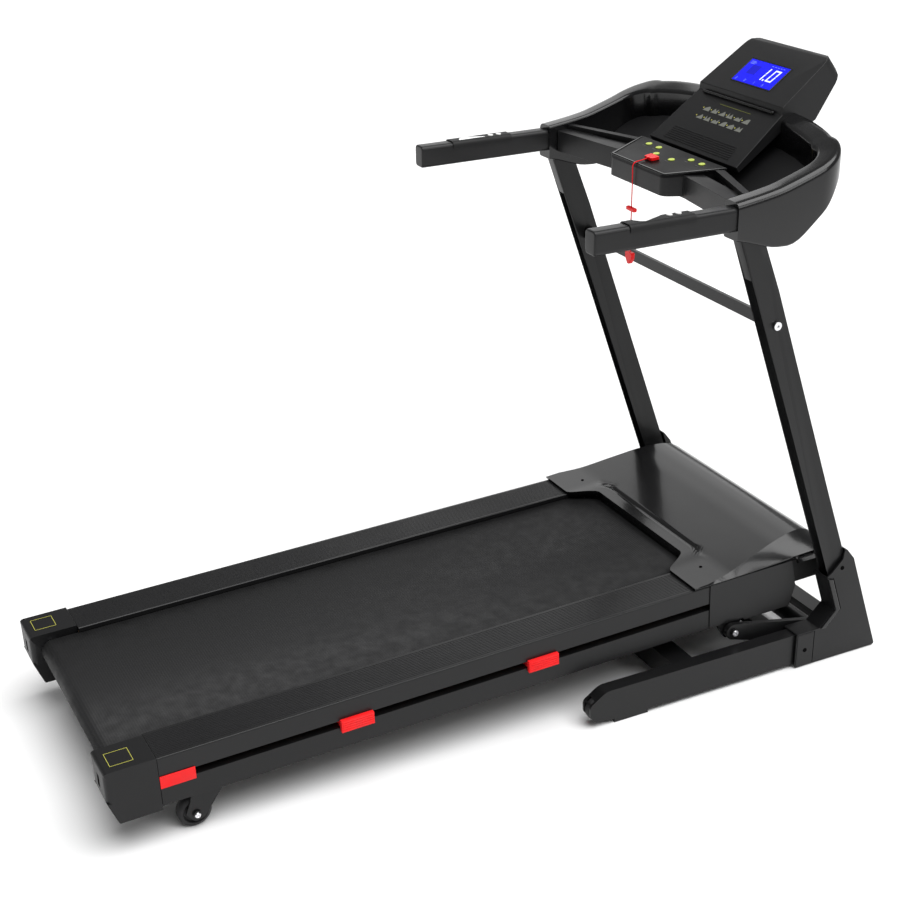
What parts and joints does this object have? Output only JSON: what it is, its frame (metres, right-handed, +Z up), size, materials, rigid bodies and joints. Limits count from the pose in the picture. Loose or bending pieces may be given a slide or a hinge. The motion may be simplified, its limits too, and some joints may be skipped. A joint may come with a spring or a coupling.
{
  "type": "treadmill",
  "caption": "Folding motorised treadmill with a tilting running deck, ring-shaped console, side handles and a two-tube floor base.",
  "frame": {"origin": "centre of the footprint on the floor", "axes": "+X to the runner's right, +Y the way the runner faces, +Z up"},
  "size_m": [0.72, 1.6536, 1.2125],
  "materials": {
    "black_painted_steel": "satin black powder coat",
    "gloss_plastic": "gloss black moulded plastic",
    "satin_plastic": "satin charcoal moulded plastic",
    "dark_plastic": "matte black plastic",
    "grip_foam": "satin black grip over tube",
    "rail_aluminium": "black anodised, fine lengthwise ribs",
    "tread_belt": "dark grey textured belt",
    "drive_rubber": "black ribbed belt",
    "board_wood": "waxed laminated board",
    "red_rubber": "red moulded rubber",
    "red_plastic": "red moulded plastic",
    "red_cord": "red cord",
    "chrome": "bright plated",
    "steel": "bare steel",
    "white_plastic": "white buttons",
    "green_plastic": "yellow-green keys",
    "display": "blue backlit display",
    "motor_metal": "dark motor casing"
  },
  "bodies": {
    "base": {"base_frame": "black_painted_steel", "base_cover_L": "satin_plastic", "base_cover_R": "satin_plastic", "upright_L": "black_painted_steel", "upright_R": "black_painted_steel", "upright_crossbar": "black_painted_steel", "crossbar_bolt_L": "chrome", "crossbar_bolt_R": "chrome", "handle_L": "grip_foam", "handle_R": "grip_foam", "handle_module_L": "dark_plastic", "handle_module_R": "dark_plastic", "yoke_housing": "gloss_plastic", "console_crossbar": "satin_plastic", "console_pod": "satin_plastic", "display_panel": "display", "keypad_plate": "gloss_plastic"},
    "hinge_shaft": {"hinge_shaft": "black_painted_steel"},
    "lift_frame": {"lift_frame": "black_painted_steel"},
    "deck": {"deck_frame": "black_painted_steel", "running_board": "board_wood", "running_belt": "tread_belt", "foot_rail_L": "rail_aluminium", "foot_rail_R": "rail_aluminium", "end_cap_L": "satin_plastic", "end_cap_R": "satin_plastic", "motor_hood": "gloss_plastic", "motor_pan": "black_painted_steel", "drive_motor": "motor_metal", "drive_belt": "drive_rubber", "incline_motor": "motor_metal", "power_inlet": "dark_plastic", "cushion_1_L": "red_rubber", "cushion_1_R": "red_rubber", "cushion_2_L": "red_rubber", "cushion_2_R": "red_rubber", "cushion_3_L": "red_rubber", "cushion_3_R": "red_rubber"},
    "front_roller": {"front_roller": "steel"},
    "rear_roller": {"rear_roller": "steel"},
    "motor_pulley": {"motor_pulley": "steel"},
    "incline_rod": {"incline_rod": "steel"},
    "deck_wheel_L": {"deck_wheel_L": "dark_plastic"},
    "deck_wheel_R": {"deck_wheel_R": "dark_plastic"},
    "base_wheel_L": {"base_wheel_L": "dark_plastic"},
    "base_wheel_R": {"base_wheel_R": "dark_plastic"},
    "safety_key": {"safety_key": "red_plastic", "safety_cord": "red_cord", "cord_slider": "red_plastic", "cord_clip": "red_plastic"},
    "key_1": {"key_1": "green_plastic"},
    "key_2": {"key_2": "green_plastic"},
    "key_3": {"key_3": "green_plastic"},
    "key_4": {"key_4": "green_plastic"},
    "key_5": {"key_5": "green_plastic"},
    "key_6": {"key_6": "green_plastic"},
    "handle_button_L1": {"handle_button_L1": "white_plastic"},
    "handle_button_L2": {"handle_button_L2": "white_plastic"},
    "handle_button_R1": {"handle_button_R1": "white_plastic"},
    "handle_button_R2": {"handle_button_R2": "white_plastic"}
  },
  "joints": [
    {"name": "deck_fold", "type": "hinge", "parent": "base", "child": "hinge_shaft", "pos_m": [0, 0.6985, 0.046], "axis": [-1, 0, 0], "range_deg": [0, 58]},
    {"name": "incline", "type": "hinge", "parent": "hinge_shaft", "child": "lift_frame", "pos_m": [0, 0.6985, 0.046], "axis": [-1, 0, 0], "range_deg": [0, 15]},
    {"name": "deck_tilt", "type": "hinge", "parent": "lift_frame", "child": "deck", "pos_m": [0, 0.49004, 0.09953], "axis": [1, 0, 0], "range_deg": [0, 17.75]},
    {"name": "incline_screw", "type": "slide", "parent": "deck", "child": "incline_rod", "axis": [0, -0.2275, -0.9738], "range_m": [0, 0.0356]},
    {"name": "front_roller_spin", "type": "hinge", "parent": "deck", "child": "front_roller", "pos_m": [0, 0.51567, 0.1822], "axis": [-1, 0, 0], "continuous": true},
    {"name": "rear_roller_spin", "type": "hinge", "parent": "deck", "child": "rear_roller", "pos_m": [0, -0.78364, 0.14009], "axis": [-1, 0, 0], "continuous": true},
    {"name": "motor_spin", "type": "hinge", "parent": "deck", "child": "motor_pulley", "pos_m": [0, 0.65093, 0.17638], "axis": [-1, 0, 0], "continuous": true},
    {"name": "deck_wheel_L_spin", "type": "hinge", "parent": "deck", "child": "deck_wheel_L", "pos_m": [-0.27175, -0.6651, 0.03267], "axis": [1, 0, 0], "continuous": true},
    {"name": "deck_wheel_R_spin", "type": "hinge", "parent": "deck", "child": "deck_wheel_R", "pos_m": [0.27175, -0.6651, 0.03267], "axis": [1, 0, 0], "continuous": true},
    {"name": "base_wheel_L_spin", "type": "hinge", "parent": "base", "child": "base_wheel_L", "pos_m": [-0.338, 0.1475, 0.0365], "axis": [1, 0, 0], "continuous": true},
    {"name": "base_wheel_R_spin", "type": "hinge", "parent": "base", "child": "base_wheel_R", "pos_m": [0.338, 0.1475, 0.0365], "axis": [1, 0, 0], "continuous": true},
    {"name": "key_1_press", "type": "slide", "parent": "base", "child": "key_1", "axis": [0, 0.0948, -0.9955], "range_m": [0, 0.0012], "stiffness_N_per_m": 400, "springref_m": -0.0005},
    {"name": "key_2_press", "type": "slide", "parent": "base", "child": "key_2", "axis": [0, 0.0948, -0.9955], "range_m": [0, 0.0012], "stiffness_N_per_m": 400, "springref_m": -0.0005},
    {"name": "key_3_press", "type": "slide", "parent": "base", "child": "key_3", "axis": [0, 0.0948, -0.9955], "range_m": [0, 0.0012], "stiffness_N_per_m": 400, "springref_m": -0.0005},
    {"name": "key_4_press", "type": "slide", "parent": "base", "child": "key_4", "axis": [0, 0.0948, -0.9955], "range_m": [0, 0.0012], "stiffness_N_per_m": 400, "springref_m": -0.0005},
    {"name": "key_5_press", "type": "slide", "parent": "base", "child": "key_5", "axis": [0, 0.0948, -0.9955], "range_m": [0, 0.0012], "stiffness_N_per_m": 400, "springref_m": -0.0005},
    {"name": "key_6_press", "type": "slide", "parent": "base", "child": "key_6", "axis": [0, 0.0948, -0.9955], "range_m": [0, 0.0012], "stiffness_N_per_m": 400, "springref_m": -0.0005},
    {"name": "handle_button_L1_press", "type": "slide", "parent": "base", "child": "handle_button_L1", "axis": [0, 0, -1], "range_m": [0, 0.0012], "stiffness_N_per_m": 400, "springref_m": -0.0005},
    {"name": "handle_button_L2_press", "type": "slide", "parent": "base", "child": "handle_button_L2", "axis": [0, 0, -1], "range_m": [0, 0.0012], "stiffness_N_per_m": 400, "springref_m": -0.0005},
    {"name": "handle_button_R1_press", "type": "slide", "parent": "base", "child": "handle_button_R1", "axis": [0, 0, -1], "range_m": [0, 0.0012], "stiffness_N_per_m": 400, "springref_m": -0.0005},
    {"name": "handle_button_R2_press", "type": "slide", "parent": "base", "child": "handle_button_R2", "axis": [0, 0, -1], "range_m": [0, 0.0012], "stiffness_N_per_m": 400, "springref_m": -0.0005},
    {"name": "safety_key_pull", "type": "slide", "parent": "base", "child": "safety_key", "axis": [0, -0.0948, 0.9955], "range_m": [0, 0.02]}
  ],
  "couplings": [
    {"joint": "deck_tilt", "follows": "incline", "ratio": 1.1804},
    {"joint": "incline_screw", "follows": "incline", "m_per_rad": 0.13563},
    {"joint": "rear_roller_spin", "follows": "front_roller_spin", "ratio": 1},
    {"joint": "motor_spin", "follows": "front_roller_spin", "ratio": 3}
  ]
}
